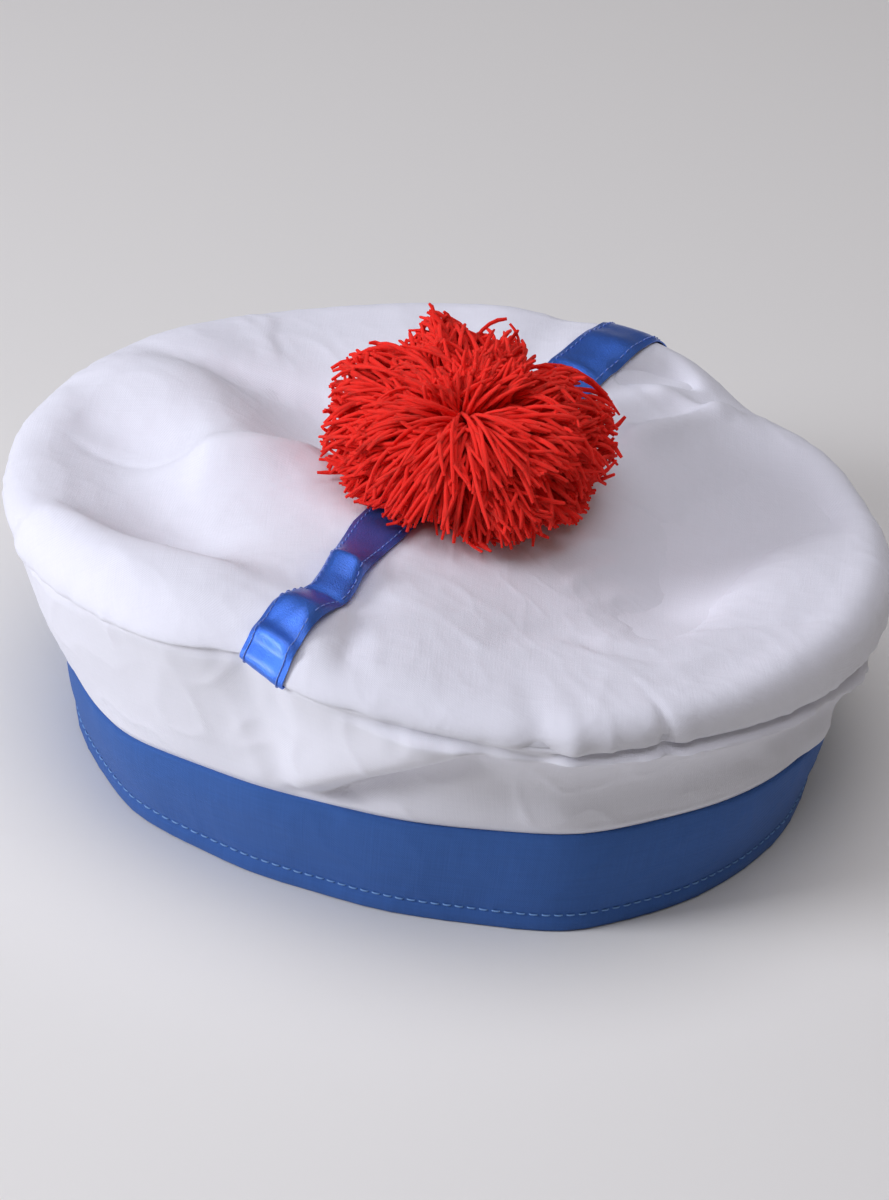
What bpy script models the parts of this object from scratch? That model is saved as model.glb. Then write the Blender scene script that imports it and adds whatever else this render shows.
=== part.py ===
"""A round white cotton sailor cap: blue headband, satin ribbon over the top, red yarn pompom.

The tables and named sizes are in millimetres and degrees, and each mesh is scaled to metres. +Z is up, and
the cap stands on the lower edge of its headband. Angles are taken about +Z from +X: -90 is the front, 0 the
right-hand side, 90 the back and 180 the left-hand side.
"""

import collections
import math
import random

import bmesh
import bpy
import numpy as np
from mathutils import Vector

MM = 0.001
GAP = 0.3  # between neighbouring pieces

# Places, in plan
BAND_CENTRE = (4.7, 0.0)
CROWN_CENTRE = (-0.3, 0.0)  # the crown leans 5 mm to the left of the band
POMPOM_CENTRE = (0.9, -3.5, 79.5)

# Headband: a stiff upright ring, about 92 outside at its lower edge: a head of about 57 cm
BAND_WALL = 2.0

# Crown: cotton with a thin backing
CLOTH = 1.2
LEAST_FACING = 0.6  # keeps the wall's level thickness under CLOTH / 0.6 where the side panel slopes most
TOP_CENTRE_HEIGHT = 62.5  # of the panel's middle, before its folds
EDGE_ROUND = 13.0  # how far in from the widest ring the top panel starts to roll over
EDGE_TURN = 112.0  # degrees that it has turned through when it meets the seam
PLATEAU_SHARE = 0.7  # of the top panel's own scale, 0 at its middle and 1 at the seam

# Ribbon
RIBBON_THICKNESS = 1.0
RIBBON_ANGLE = 66.3  # its back end; the front end lies opposite
RIBBON_END = 0.985  # on the top panel's scale, just short of the seam
RIBBON_LIFT = 0.75  # clears the facets of the cloth beneath

# Pompom
POMPOM_CORE = 0.71  # where its locks part, as a share of their reach
POMPOM_REACH = 33.0  # of a plain lock, from the middle, sideways
POMPOM_RISE = 21.5  # and upwards
POMPOM_LOCKS = 120
LOCK_SIDES = 5
LOCK_WAIST = 0.87  # where a lock's width is measured, as a share of its reach
LOCK_RADIUS = 0.26  # there, as a share of the distance between neighbouring locks
LOCK_LEAN = 0.15  # of its tip, as a share of that distance
LOCK_UNEVEN = 1.6  # how much longer or shorter than a plain one a lock may be
LOCK_SEED = 11
VALLEY_CLEARANCE = 0.36  # from a lock's middle, as a share of that distance

# The rim of the crown: its widest radius, the height of the shoulder where the top is level, that of the
# seam, and how far the seam is tucked in under the widest ring. Rows are evenly spaced.
Rim = collections.namedtuple("Rim", "angle radius shoulder seam tuck")
RIM = [
    Rim(-180, 107.5, 64.0, 55.0, 1.0),
    Rim(-150, 107.5, 65.5, 57.0, 1.0),
    Rim(-120, 106.0, 66.5, 63.0, 0.5),
    Rim(-90, 104.5, 64.0, 59.5, 0.0),
    Rim(-60, 106.0, 62.0, 55.0, 0.0),
    Rim(-30, 103.5, 58.5, 45.5, 1.0),
    Rim(0, 108.0, 58.0, 37.0, 3.0),
    Rim(30, 110.0, 58.5, 40.0, 4.0),
    Rim(60, 106.5, 63.5, 46.5, 3.0),
    Rim(90, 106.5, 63.5, 49.0, 3.0),
    Rim(120, 107.0, 62.0, 50.0, 3.0),
    Rim(150, 107.0, 65.0, 52.5, 2.0),
]

# Local changes to the rim, each a bell with this spread in degrees
Nudge = collections.namedtuple("Nudge", "name angle spread radius shoulder seam")
RIM_NUDGES = [
    Nudge("ribbon pulls the seam in", -115, 7, -6.0, -1.5, 2.0),
    Nudge("corner at the front", -75, 11, 2.5, 0.0, -1.2),
    Nudge("dip beside the ribbon's back end", 45, 8, 0.0, -5.5, -1.0),
    Nudge("step behind the pompom", 76, 4, 0.0, -1.0, 0.0),
    Nudge("rise left of the step", 86, 6, 0.0, 1.0, 0.0),
]

# Folds of the top panel, in plan about the crown's centre. Each is a ridge along a line, or a valley where
# its height is negative, with its own width on the left and on the right of the line's direction.
Fold = collections.namedtuple("Fold", "name x0 y0 x1 y1 left right height")
TOP_FOLDS = [
    Fold("ridge under the ribbon", -34, -84, 30, 64, 30, 40, 4.5),
    Fold("sag under the pompom", -4, -4, 4, 4, 13, 13, -2.5),
    Fold("left ridge", -96, -40, -68, -57, 9, 26, 3.2),
    Fold("left ridge, to the ribbon", -68, -57, -38, -72, 8, 24, 2.0),
    Fold("valley behind the left ridge", -78, -4, -64, -38, 14, 20, -5.0),
    Fold("lip of the back-left pocket", -62, -4, -32, 7, 6, 22, 2.5),
    Fold("ridge left of the pocket", -54, 6, -63, 36, 20, 13, 4.0),
    Fold("back-left pocket", -28, 22, -26, 40, 23, 12, -7.4),
    Fold("back of the pocket", -54, 47, -22, 44, 6, 24, -4.2),
    Fold("back-left slope", -84, 52, -60, 46, 10, 6, -1.2),
    Fold("right dish", 32, -50, 54, -34, 28, 14, -3.4),
    Fold("right dish, inner", 54, -28, 69, 12, 26, 9, -1.9),
    Fold("right dish, outer", 56, -16, 88, 22, 34, 12, -5.2),
    Fold("cloth right of the pompom", 34, -8, 43, 30, 12, 16, 2.0),
    Fold("crumple by the ribbon", 42, 36, 68, 60, 9, 8, 3.5),
    Fold("hollow beside the crumple", 30, 50, 52, 74, 6, 5, -2.5),
    Fold("front dent right of the ribbon", -19, -66, -19, -92, 8, 5, -1.5),
]

# The ribbon's run over the top: place is -1 at its front end, 0 over the middle and 1 at its back end. Its
# middle line passes this far to the left of the crown's centre, and it narrows where its edges curl.
Run = collections.namedtuple("Run", "place left width")
RIBBON_RUN = [
    Run(-1.0, -3.3, 10.8),
    Run(-0.84, -4.2, 9.0),
    Run(-0.73, -2.7, 9.0),
    Run(-0.6, -0.7, 10.4),
    Run(-0.45, 1.0, 12.6),
    Run(-0.2, 2.5, 13.0),
    Run(0.5, 0.0, 13.0),
    Run(1.0, -2.0, 14.5),
]

# Folds of the side panel: x is the angle, and y the height as a share of the panel, 0 at the band and 1 at
# the seam. Widths are shares of the panel's height, and a positive height stands out from it.
SIDE_FOLDS = [
    Fold("fullness on the left", -176, 0.60, -150, 0.60, 0.40, 0.40, 2.2),
    Fold("seam lip, right front", -86, 0.93, -32, 0.93, 0.08, 0.10, 1.6),
    Fold("roll above the front tuck", -107, 0.32, -91, 0.84, 0.30, 0.14, 3.5),
    Fold("front tuck", -109, 0.02, -85, 0.78, 0.08, 0.18, -4.2),
    Fold("cloth under the tuck", -96, 0.05, -74, 0.25, 0.20, 0.15, 1.0),
    Fold("right hollow", -78, 0.50, -16, 0.50, 0.35, 0.35, -3.0),
    Fold("pouch at the right", -22, 0.30, -16, 0.70, 0.35, 0.35, 3.5),
    Fold("fold over the band's notch", -119, 0.90, -115, 0.10, 0.20, 0.16, 0.9),
]
SIDE_FOLD_SCALE = 19.0  # degrees round the cap that are as long as the panel is high
FADE_ABOVE_BAND = 0.12  # shares of its height over which the folds die out at the panel's two edges
FADE_BELOW_SEAM = 0.08

# The headband: its outer radius at the lower edge, how far its top edge leans out, and its height. Rows are
# evenly spaced.
Band = collections.namedtuple("Band", "angle radius lean height")
BAND = [
    Band(-180, 92.5, 2.5, 24.5),
    Band(-150, 92.5, 5.0, 23.0),
    Band(-120, 90.5, 5.0, 27.0),
    Band(-90, 90.5, 3.0, 27.5),
    Band(-60, 93.5, 2.5, 28.5),
    Band(-30, 91.5, 3.0, 25.5),
    Band(0, 89.5, 3.5, 22.5),
    Band(30, 90.5, 3.0, 24.5),
    Band(60, 91.5, 2.0, 26.0),
    Band(90, 92.0, 2.0, 27.0),
    Band(120, 92.0, 2.0, 26.5),
    Band(150, 92.0, 3.0, 26.0),
]
Corner = collections.namedtuple("Corner", "name angle spread radius")
BAND_CORNERS = [
    Corner("left", -139, 9, 1.8),
    Corner("front", -71, 9, 2.0),
    Corner("flat between them", -106, 9, -1.0),
]

# Bunches of locks that stand out of the pompom: direction in degrees, spread, and how far
Bunch = collections.namedtuple("Bunch", "name azimuth elevation spread reach")
POMPOM_BUNCHES = [
    Bunch("top left spike", 129, 53, 11, 4.5),
    Bunch("top right spike", 57, 55, 11, 4.5),
    Bunch("upper right bunch", 21, 32, 18, 3.5),
    Bunch("right bunch", 0, 0, 25, 1.0),
    Bunch("front bunch, hanging", -60, -28, 14, 4.5),
    Bunch("upper left bunch", 163, 26, 22, 2.5),
    Bunch("left tuft", -168, -18, 10, 2.0),
]

# Fineness of the faceted solids
AROUND = 72
PLATEAU_RINGS = 12
EDGE_RINGS = 5
SIDE_ROWS = 8
BAND_ROWS = 3
RIBBON_STEPS = 22  # on each half
EDGE_STEPS = 8  # of those, over the rolled edge
RIBBON_LINES = 4
STEP_SHARE = 0.001  # the small steps that a surface's normal is worked out from
STEP_DEGREES = 0.05
SHARP_ANGLE = 50

Finish = collections.namedtuple("Finish", "colour roughness")
FINISHES = {
    "white_cotton": Finish((0.80, 0.80, 0.88), 0.85),
    "blue_cotton": Finish((0.05, 0.14, 0.46), 0.80),
    "blue_satin": Finish((0.03, 0.12, 0.55), 0.30),
    "red_yarn": Finish((0.80, 0.02, 0.015), 0.90),
}


def smooth(x):
    """0 to 1 with level ends, as x goes from 0 to 1."""
    x = np.clip(x, 0.0, 1.0)
    return x * x * (3 - 2 * x)


def around(table, column, degrees):
    """A column of a table whose rows are evenly spaced round the cap, as a smooth curve at these angles."""
    values = np.array([getattr(row, column) for row in table])
    place = (np.asarray(degrees) - table[0].angle) * len(values) / 360
    index = np.floor(place).astype(int)
    t = place - index
    before, first, second, after = (values[(index + k) % len(values)] for k in (-1, 0, 1, 2))
    slope_first = (second - before) / 2
    slope_second = (after - first) / 2
    change = second - first
    cubic = slope_first + slope_second - 2 * change
    square = 3 * change - 2 * slope_first - slope_second
    return first + t * (slope_first + t * (square + t * cubic))


def bell(x):
    return np.exp(-x * x)


def rim(column, degrees):
    """The rim's radius, shoulder, seam or tuck at these angles, with its local changes."""
    value = around(RIM, column, degrees)
    for nudge in RIM_NUDGES:
        away = (degrees - nudge.angle + 180) % 360 - 180
        value = value + getattr(nudge, column, 0.0) * bell(away / nudge.spread)
    return value


def fold_height(fold, x, y):
    """How far a fold lifts the cloth at x, y: a bell across its line, fading past both ends."""
    length = math.hypot(fold.x1 - fold.x0, fold.y1 - fold.y0)
    along_x = (fold.x1 - fold.x0) / length
    along_y = (fold.y1 - fold.y0) / length
    along = (x - fold.x0) * along_x + (y - fold.y0) * along_y
    across = (y - fold.y0) * along_x - (x - fold.x0) * along_y
    past_end = np.maximum(0, np.maximum(-along, along - length))
    width = np.where(across > 0, fold.left, fold.right)
    tail = (fold.left + fold.right) / 2
    return fold.height * bell(across / width) * bell(past_end / tail)


def polar(centre, radius, degrees, height):
    """Points round a vertical axis, as an array with x, y and z last."""
    angle = np.radians(degrees)
    x = centre[0] + radius * np.cos(angle)
    y = centre[1] + radius * np.sin(angle)
    return np.stack(np.broadcast_arrays(x, y, height), -1)


def top_surface(share, degrees):
    """The top panel's outer face: share is 0 at its middle, PLATEAU_SHARE where it starts to roll over and
    1 at the seam."""
    widest = rim("radius", degrees)
    shoulder = rim("shoulder", degrees)
    plateau = widest - EDGE_ROUND
    inside = np.clip(share / PLATEAU_SHARE, 0, 1)
    turn = np.radians(EDGE_TURN) * np.clip((share - PLATEAU_SHARE) / (1 - PLATEAU_SHARE), 0, 1)
    drop = (shoulder - rim("seam", degrees)) / (1 - math.cos(math.radians(EDGE_TURN)))
    under = smooth((turn - math.pi / 2) / (math.radians(EDGE_TURN) - math.pi / 2))
    radius = plateau * inside + EDGE_ROUND * np.sin(turn) - rim("tuck", degrees) * under
    height = TOP_CENTRE_HEIGHT + (shoulder - TOP_CENTRE_HEIGHT) * smooth(inside)
    height = height - drop * (1 - np.cos(turn))
    angle = np.radians(degrees)
    x = radius * np.cos(angle)
    y = radius * np.sin(angle)
    folded = sum(fold_height(fold, x, y) for fold in TOP_FOLDS)
    height = height + folded * smooth(1 - turn / math.radians(EDGE_TURN))
    return polar(CROWN_CENTRE, radius, degrees, height)


def band_surface(share, degrees):
    """The headband's outer face: share is 0 at its lower edge and 1 at its top."""
    radius = around(BAND, "radius", degrees) + around(BAND, "lean", degrees) * smooth(share)
    for corner in BAND_CORNERS:
        radius = radius + corner.radius * bell((degrees - corner.angle) / corner.spread)
    return polar(BAND_CENTRE, radius, degrees, share * around(BAND, "height", degrees))


def side_fold_height(fold, degrees, share):
    """How far a fold of the side panel lifts it, with angles measured from the fold's own middle."""
    middle = (fold.x0 + fold.x1) / 2
    local = fold._replace(x0=(fold.x0 - middle) / SIDE_FOLD_SCALE, x1=(fold.x1 - middle) / SIDE_FOLD_SCALE)
    return fold_height(local, ((degrees - middle + 180) % 360 - 180) / SIDE_FOLD_SCALE, share)


def side_surface(share, degrees):
    """The side panel's outer face: share is 0 at the band and 1 at the seam."""
    low = band_surface(np.ones_like(degrees), degrees)
    low[..., 2] += GAP
    seam = top_surface(np.ones_like(degrees), degrees)
    seam[..., 2] -= GAP
    lift = np.asarray(share)[..., None]
    point = low + (seam - low) * lift
    out = polar((0, 0), 1.0, degrees, 0.0)
    folded = sum(side_fold_height(fold, degrees, share) for fold in SIDE_FOLDS)
    ends = smooth(share / FADE_ABOVE_BAND) * smooth((1 - share) / FADE_BELOW_SEAM)
    return point + out * (folded * ends)[..., None]


def normals(surface, share, degrees):
    """Unit normals of a surface, from small steps along its two scales: up from the top panel, and in from
    the side panel."""
    further, nearer = np.clip(share + STEP_SHARE, 0, 1), np.clip(share - STEP_SHARE, 0, 1)
    along = surface(further, degrees) - surface(nearer, degrees)
    sideways = surface(share, degrees + STEP_DEGREES) - surface(share, degrees - STEP_DEGREES)
    normal = np.cross(along, sideways)
    return normal / np.linalg.norm(normal, axis=-1, keepdims=True)


def new_object(name, mesh, finish):
    """Scales a bmesh to metres and puts it in the scene as a smooth-shaded object with its material."""
    bmesh.ops.recalc_face_normals(mesh, faces=mesh.faces)
    bmesh.ops.scale(mesh, vec=Vector((MM, MM, MM)), verts=mesh.verts)
    data = bpy.data.meshes.new(name)
    mesh.to_mesh(data)
    mesh.free()
    data.shade_smooth()
    data.set_sharp_from_angle(angle=math.radians(SHARP_ANGLE))
    data.materials.append(material(finish))
    item = bpy.data.objects.new(name, data)
    bpy.context.scene.collection.objects.link(item)
    return item


def material(finish):
    """The Principled material of this name, made the first time that it is asked for."""
    found = bpy.data.materials.get(finish)
    if found:
        return found
    made = bpy.data.materials.new(finish)
    made.use_nodes = True
    shader = made.node_tree.nodes["Principled BSDF"]
    shader.inputs["Base Color"].default_value = (*FINISHES[finish].colour, 1)
    shader.inputs["Roughness"].default_value = FINISHES[finish].roughness
    shader.inputs["Metallic"].default_value = 0.0
    made.diffuse_color = (*FINISHES[finish].colour, 1)
    return made


def grid_faces(mesh, rows, closed):
    """Joins rows of vertices with quads, each row to the next, and round to its own start where closed."""
    for lower, upper in zip(rows, rows[1:]):
        count = len(lower)
        for k in range(count if closed else count - 1):
            after = (k + 1) % count
            mesh.faces.new((lower[k], lower[after], upper[after], upper[k]))


def vertices(mesh, points):
    return [mesh.verts.new(Vector(point)) for point in points]


def add_ring_wall(name, outer, inner, finish):
    """A closed wall from two stacks of rings, outer and inner, joined at the first ring and at the last."""
    mesh = bmesh.new()
    outside = [vertices(mesh, ring) for ring in outer]
    inside = [vertices(mesh, ring) for ring in inner]
    grid_faces(mesh, outside + inside[::-1] + outside[:1], closed=True)
    return new_object(name, mesh, finish)


def add_crown_top():
    """The top panel: a dented disc whose edge rolls over to the seam, closed by a fan at its middle."""
    degrees = np.arange(AROUND) * 360 / AROUND - 180
    plateau = PLATEAU_SHARE * np.arange(1, PLATEAU_RINGS + 1) / PLATEAU_RINGS
    edge = PLATEAU_SHARE + (1 - PLATEAU_SHARE) * np.arange(1, EDGE_RINGS + 1) / EDGE_RINGS
    share, degrees = np.meshgrid(np.concatenate([plateau, edge]), degrees, indexing="ij")
    outer = top_surface(share, degrees)
    normal = normals(top_surface, share, degrees)
    normal[-1] = polar((0, 0), 1.0, degrees[-1], 0.0)
    inner = outer - normal * CLOTH
    middle = top_surface(np.zeros(1), np.zeros(1))[0]

    mesh = bmesh.new()
    outside = [vertices(mesh, ring) for ring in outer]
    inside = [vertices(mesh, ring) for ring in inner]
    grid_faces(mesh, outside + inside[::-1], closed=True)
    for ring, height in ((outside[0], 0.0), (inside[0], -CLOTH)):
        pole = mesh.verts.new(Vector(middle) + Vector((0, 0, height)))
        for k in range(AROUND):
            mesh.faces.new((ring[k], ring[(k + 1) % AROUND], pole))
    return new_object("crown_top", mesh, "white_cotton")


def add_crown_side():
    """The side panel: a wall of cloth from the band's top edge out to the seam."""
    degrees = np.arange(AROUND) * 360 / AROUND - 180
    share = np.arange(SIDE_ROWS + 1) / SIDE_ROWS
    share, degrees = np.meshgrid(share, degrees, indexing="ij")
    outer = side_surface(share, degrees)
    out = polar((0, 0), 1.0, degrees, 0.0)
    facing = np.abs(np.sum(normals(side_surface, share, degrees) * out, axis=-1, keepdims=True))
    inner = outer - out * CLOTH / np.maximum(facing, LEAST_FACING)
    return add_ring_wall("crown_side", outer, inner, "white_cotton")


def add_headband():
    """The band: an upright wall, near vertical, that leans out a little at its top edge."""
    degrees = np.arange(AROUND) * 360 / AROUND - 180
    share = np.arange(BAND_ROWS + 1) / BAND_ROWS
    share, degrees = np.meshgrid(share, degrees, indexing="ij")
    outer = band_surface(share, degrees)
    inner = outer - polar((0, 0), BAND_WALL, degrees, 0.0)
    return add_ring_wall("headband", outer, inner, "blue_cotton")


def ribbon_places():
    """Shares and angles on the top panel of the ribbon's grid of points, from its front end to its back."""
    ahead = np.array([math.cos(math.radians(RIBBON_ANGLE)), math.sin(math.radians(RIBBON_ANGLE))])
    left = np.array([-ahead[1], ahead[0]])
    level = np.linspace(0.0, PLATEAU_SHARE, RIBBON_STEPS - EDGE_STEPS + 1)
    turned = np.linspace(PLATEAU_SHARE, RIBBON_END, EDGE_STEPS + 1)
    half = np.concatenate([level[1:], turned[1:]])
    run = [list(column) for column in zip(*RIBBON_RUN)]
    rows = []
    for place in np.concatenate([-half[::-1], [0.0], half]):
        end_angle = RIBBON_ANGLE if place > 0 else RIBBON_ANGLE - 180
        inside = math.copysign(min(abs(place) / PLATEAU_SHARE, 1.0), place)
        along = inside * (float(rim("radius", np.array(end_angle))) - EDGE_ROUND)
        middle = np.interp(inside, run[0], run[1])
        width = np.interp(inside, run[0], run[2])
        row = []
        for across in np.linspace(-0.5, 0.5, RIBBON_LINES) * width:
            x, y = ahead * along + left * (across + middle)
            degrees = math.degrees(math.atan2(y, x))
            reach = float(rim("radius", np.array(degrees))) - EDGE_ROUND
            share = PLATEAU_SHARE * min(math.hypot(x, y) / reach, 1.0)
            row.append((max(share, abs(place)) if abs(inside) == 1.0 else share, degrees))
        rows.append(row)
    return np.array(rows)


def add_ribbon():
    """The satin ribbon: a thin strip laid over the top panel, turned down over the rim at both ends."""
    places = ribbon_places()
    share, degrees = places[..., 0], places[..., 1]
    cloth = top_surface(share, degrees)
    normal = normals(top_surface, share, degrees)
    under = cloth + normal * RIBBON_LIFT
    over = cloth + normal * (RIBBON_LIFT + RIBBON_THICKNESS)

    mesh = bmesh.new()
    rings = []
    for low, high in zip(under, over):
        rings.append(vertices(mesh, list(low) + list(high[::-1])))
    grid_faces(mesh, rings, closed=True)
    mesh.faces.new(rings[0][::-1])
    mesh.faces.new(rings[-1])
    return new_object("ribbon", mesh, "blue_satin")


def golden_directions(count):
    """Unit vectors spread evenly over a sphere, along the golden-angle spiral."""
    turn = math.pi * (3 - math.sqrt(5))
    made = []
    for k in range(count):
        z = 1 - (2 * k + 1) / count
        ring = math.sqrt(1 - z * z)
        made.append(Vector((ring * math.cos(k * turn), ring * math.sin(k * turn), z)))
    return made


def lock_reach(direction):
    """The length of a lock from the pompom's middle: less at the top, and more in the bunches."""
    level = (1 - direction.z**2) / POMPOM_REACH**2
    reach = 1 / math.sqrt(level + direction.z**2 / POMPOM_RISE**2)
    for bunch in POMPOM_BUNCHES:
        azimuth = math.radians(bunch.azimuth)
        elevation = math.radians(bunch.elevation)
        flat = math.cos(elevation)
        aim = Vector((flat * math.cos(azimuth), flat * math.sin(azimuth), math.sin(elevation)))
        reach += bunch.reach * math.exp(-(math.degrees(direction.angle(aim)) / bunch.spread) ** 2)
    return reach


def cloth_height(x, y):
    """The height of the top panel's outer face over a point in plan."""
    x = x - CROWN_CENTRE[0]
    y = y - CROWN_CENTRE[1]
    degrees = np.array(math.degrees(math.atan2(y, x)))
    share = PLATEAU_SHARE * math.hypot(x, y) / (rim("radius", degrees) - EDGE_ROUND)
    return float(top_surface(np.array(share), degrees)[2])


def resting_reach(direction, reach):
    """Shortens a lock that points down, so that it lies on the ribbon and the cloth beneath."""
    clearance = RIBBON_LIFT + RIBBON_THICKNESS + 2 * GAP
    centre = Vector(POMPOM_CENTRE)
    for _ in range(8):
        tip = centre + direction * reach
        floor = cloth_height(tip.x, tip.y) + clearance
        if direction.z >= -0.02 or tip.z >= floor:
            break
        reach = (centre.z - floor) / -direction.z
    return reach


def around_lock(lock, spacing, turn):
    """The direction this far from a lock's own, turned about it."""
    across = lock.orthogonal().normalized()
    beside = lock.cross(across)
    return (lock + (across * math.cos(turn) + beside * math.sin(turn)) * spacing).normalized()


def add_pompom():
    """The pompom: tapered locks all round a core, its underside flattened where it sits on the cap."""
    uneven = random.Random(LOCK_SEED)
    locks = golden_directions(POMPOM_LOCKS)
    spacing = math.sqrt(4 * math.pi / POMPOM_LOCKS)
    placed = []
    for lock in locks:
        reach = lock_reach(lock) + uneven.uniform(-LOCK_UNEVEN, LOCK_UNEVEN)
        turn = uneven.uniform(0, 2 * math.pi)
        placed.append((around_lock(lock, LOCK_LEAN * spacing, turn), reach))
        for k in range(LOCK_SIDES):
            side = turn + 2 * math.pi * k / LOCK_SIDES
            placed.append((around_lock(lock, LOCK_RADIUS * spacing, side), LOCK_WAIST * reach))
    for valley in golden_directions(2 * POMPOM_LOCKS):
        if min(valley.angle(lock) for lock in locks) > VALLEY_CLEARANCE * spacing:
            placed.append((valley, POMPOM_CORE * lock_reach(valley)))

    mesh = bmesh.new()
    for direction, _ in placed:
        mesh.verts.new(direction)
    bmesh.ops.convex_hull(mesh, input=mesh.verts)
    for vertex, (direction, reach) in zip(mesh.verts, placed):
        vertex.co = Vector(POMPOM_CENTRE) + direction * resting_reach(direction, reach)
    return new_object("pompom", mesh, "red_yarn")


def main():
    for item in list(bpy.data.objects):
        bpy.data.objects.remove(item, do_unlink=True)
    add_crown_top()
    add_crown_side()
    add_headband()
    add_ribbon()
    add_pompom()


main()
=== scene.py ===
"""The looks of a white cotton sailor cap: blue headband, satin ribbon over the top and a red yarn pompom.

Tables and named sizes are in millimetres and degrees, and each mesh is scaled to metres. +Z is up, and the
cap stands on its headband. Angles are about +Z from +X: -90 is the front, 0 the right-hand side, 90 the back
and 180 the left. Every surface runs from the middle of the crown outwards and then down, as its share grows.
"""

import math
from collections import namedtuple

import bmesh
import bpy
import numpy as np
from mathutils import Matrix, Vector, noise


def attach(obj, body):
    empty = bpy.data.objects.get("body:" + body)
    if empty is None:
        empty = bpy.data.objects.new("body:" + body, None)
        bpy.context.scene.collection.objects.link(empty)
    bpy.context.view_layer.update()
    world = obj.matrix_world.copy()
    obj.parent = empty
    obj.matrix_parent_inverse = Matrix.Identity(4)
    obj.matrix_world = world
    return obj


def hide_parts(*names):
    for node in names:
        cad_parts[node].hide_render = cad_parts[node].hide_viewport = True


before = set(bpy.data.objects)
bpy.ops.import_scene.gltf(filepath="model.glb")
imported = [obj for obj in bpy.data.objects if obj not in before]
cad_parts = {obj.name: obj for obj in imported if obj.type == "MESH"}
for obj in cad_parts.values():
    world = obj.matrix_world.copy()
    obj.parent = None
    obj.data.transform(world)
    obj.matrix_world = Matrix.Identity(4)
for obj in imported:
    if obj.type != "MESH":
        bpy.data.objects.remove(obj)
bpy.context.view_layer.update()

MM = 0.001


def rows(columns, values):
    """A table with these named columns. The last one is False in a row that leaves it out."""
    kind = namedtuple("Row", columns, defaults=[False])
    return [kind(*row) for row in values]


# ---- Sizes that the solids have too. RIM, BAND and SEAM have their rows at evenly spaced angles

BAND_CENTRE = (4.7, 0.0)
CROWN_CENTRE = (-0.3, 0.0)
POMPOM_CENTRE = (0.9, -3.5, 79.5)
BAND_WALL = 2.0
TOP_CENTRE_HEIGHT = 62.5
EDGE_ROUND = 13.0
EDGE_TURN = 112.0
PLATEAU_SHARE = 0.7  # where the rolled edge begins
RIBBON_ANGLE = 66.3
RIBBON_END = 0.992
POMPOM_REACH = 33.0  # sideways
POMPOM_RISE = 21.5  # upwards

RIM = rows("angle radius shoulder seam tuck", [
    (-180, 107.5, 64, 55, 1),
    (-150, 107.5, 65.5, 57, 1),
    (-120, 106, 66.5, 63, 0.5),
    (-90, 104.5, 64, 59.5, 0),
    (-60, 106, 62, 55, 0),
    (-30, 103.5, 58.5, 45.5, 1),
    (0, 108, 58, 37, 3),
    (30, 110, 58.5, 40, 4),
    (60, 106.5, 63.5, 46.5, 3),
    (90, 106.5, 63.5, 49, 3),
    (120, 107, 62, 50, 3),
    (150, 107, 65, 52.5, 2),
])
RIM_NUDGES = rows("name angle spread radius shoulder seam", [
    ("ribbon pulls the seam in", -115, 7, -6, -1.5, 2),
    ("corner at the front", -75, 11, 2.5, 0, -1.2),
    ("dip beside the ribbon's back end", 45, 8, 0, -5.5, -1),
    ("step behind the pompom", 76, 4, 0, -1, 0),
    ("rise left of the step", 86, 6, 0, 1, 0),
])

FOLD = "name x0 y0 x1 y1 left right height"
TOP_FOLDS = rows(FOLD, [
    ("ridge under the ribbon", -34, -84, 30, 64, 30, 40, 4.5),
    ("sag under the pompom", -4, -4, 4, 4, 13, 13, -2.5),
    ("left ridge", -96, -40, -68, -57, 9, 26, 3.2),
    ("left ridge, to the ribbon", -68, -57, -38, -72, 8, 24, 2),
    ("valley behind the left ridge", -78, 4, -62, -40, 15, 19, -6.2),
    ("lip of the back-left pocket", -62, -4, -32, 7, 6, 22, 2.5),
    ("ridge left of the pocket", -54, 6, -63, 36, 20, 13, 4),
    ("back-left pocket", -28, 22, -26, 40, 23, 12, -7.4),
    ("back of the pocket", -54, 47, -22, 44, 6, 24, -4.2),
    ("back-left slope", -84, 52, -60, 46, 10, 6, -1.2),
    ("right dish", 32, -50, 54, -34, 28, 14, -3.4),
    ("right dish, inner", 54, -28, 69, 12, 26, 9, -1.9),
    ("right dish, outer", 56, -16, 88, 22, 34, 12, -5.2),
    ("cloth right of the pompom", 34, -8, 43, 30, 12, 16, 2.6),
    ("crumple by the ribbon", 42, 36, 68, 60, 9, 8, 3.5),
    ("hollow beside the crumple", 30, 50, 52, 74, 6, 5, -2.5),
    ("front dent right of the ribbon", -19, -66, -19, -92, 8, 5, -1.5),
])

SIDE_FOLD_SCALE = 19.0
FADE_ABOVE_BAND = 0.12
FADE_BELOW_SEAM = 0.08
SIDE_FOLDS = rows(FOLD, [
    ("fullness on the left", -176, 0.6, -150, 0.6, 0.4, 0.4, 2.2),
    ("seam lip, right front", -86, 0.93, -32, 0.93, 0.08, 0.1, 1.6),
    ("roll above the front tuck", -107, 0.32, -91, 0.84, 0.3, 0.14, 3.5),
    ("front tuck", -109, 0.02, -85, 0.78, 0.08, 0.18, -4.2),
    ("cloth under the tuck", -96, 0.05, -74, 0.25, 0.2, 0.15, 1),
    ("right hollow", -78, 0.5, -16, 0.5, 0.35, 0.35, -3),
    ("pouch at the right", -22, 0.3, -16, 0.7, 0.35, 0.35, 3.5),
    ("fold over the band's notch", -119, 0.9, -115, 0.1, 0.2, 0.16, 0.9),
])

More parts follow.
